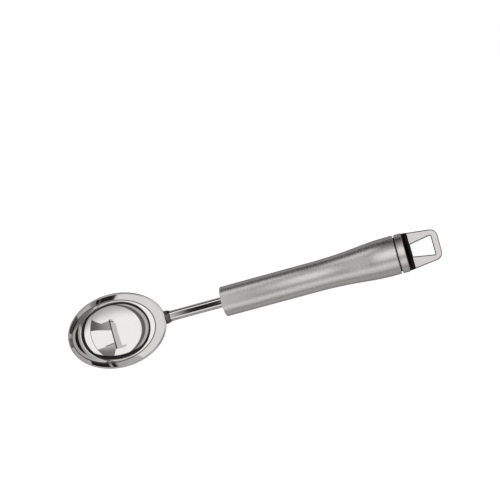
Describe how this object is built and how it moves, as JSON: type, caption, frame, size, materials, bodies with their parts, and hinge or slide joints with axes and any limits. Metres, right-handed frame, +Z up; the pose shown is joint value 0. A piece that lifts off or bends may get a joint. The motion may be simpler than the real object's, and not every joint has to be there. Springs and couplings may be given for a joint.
{
  "type": "ice cream scoop",
  "caption": "Ice cream scoop with a polished oval bowl on a round rod, a hollow flared satin handle and a flat hanging loop with a wedge-shaped hole.",
  "frame": {"origin": "on the table under the middle of the scoop's length", "axes": "+X from the bowl's tip along the handle to the hanging loop, +Z up out of the open bowl"},
  "size_m": [0.2188, 0.0426, 0.022],
  "materials": {
    "polished_steel": "mirror-polished stainless steel",
    "satin_steel": "satin, fine grain round the handle",
    "weld_metal": "dressed weld",
    "bare_steel": "turned, unpolished"
  },
  "bodies": {
    "root": {"scoop_bowl": "polished_steel", "bowl_weld": "weld_metal", "shank_rod": "polished_steel", "front_plug": "bare_steel", "plug_weld": "weld_metal", "handle_tube": "satin_steel", "hanging_end_cap": "satin_steel"}
  },
  "joints": []
}
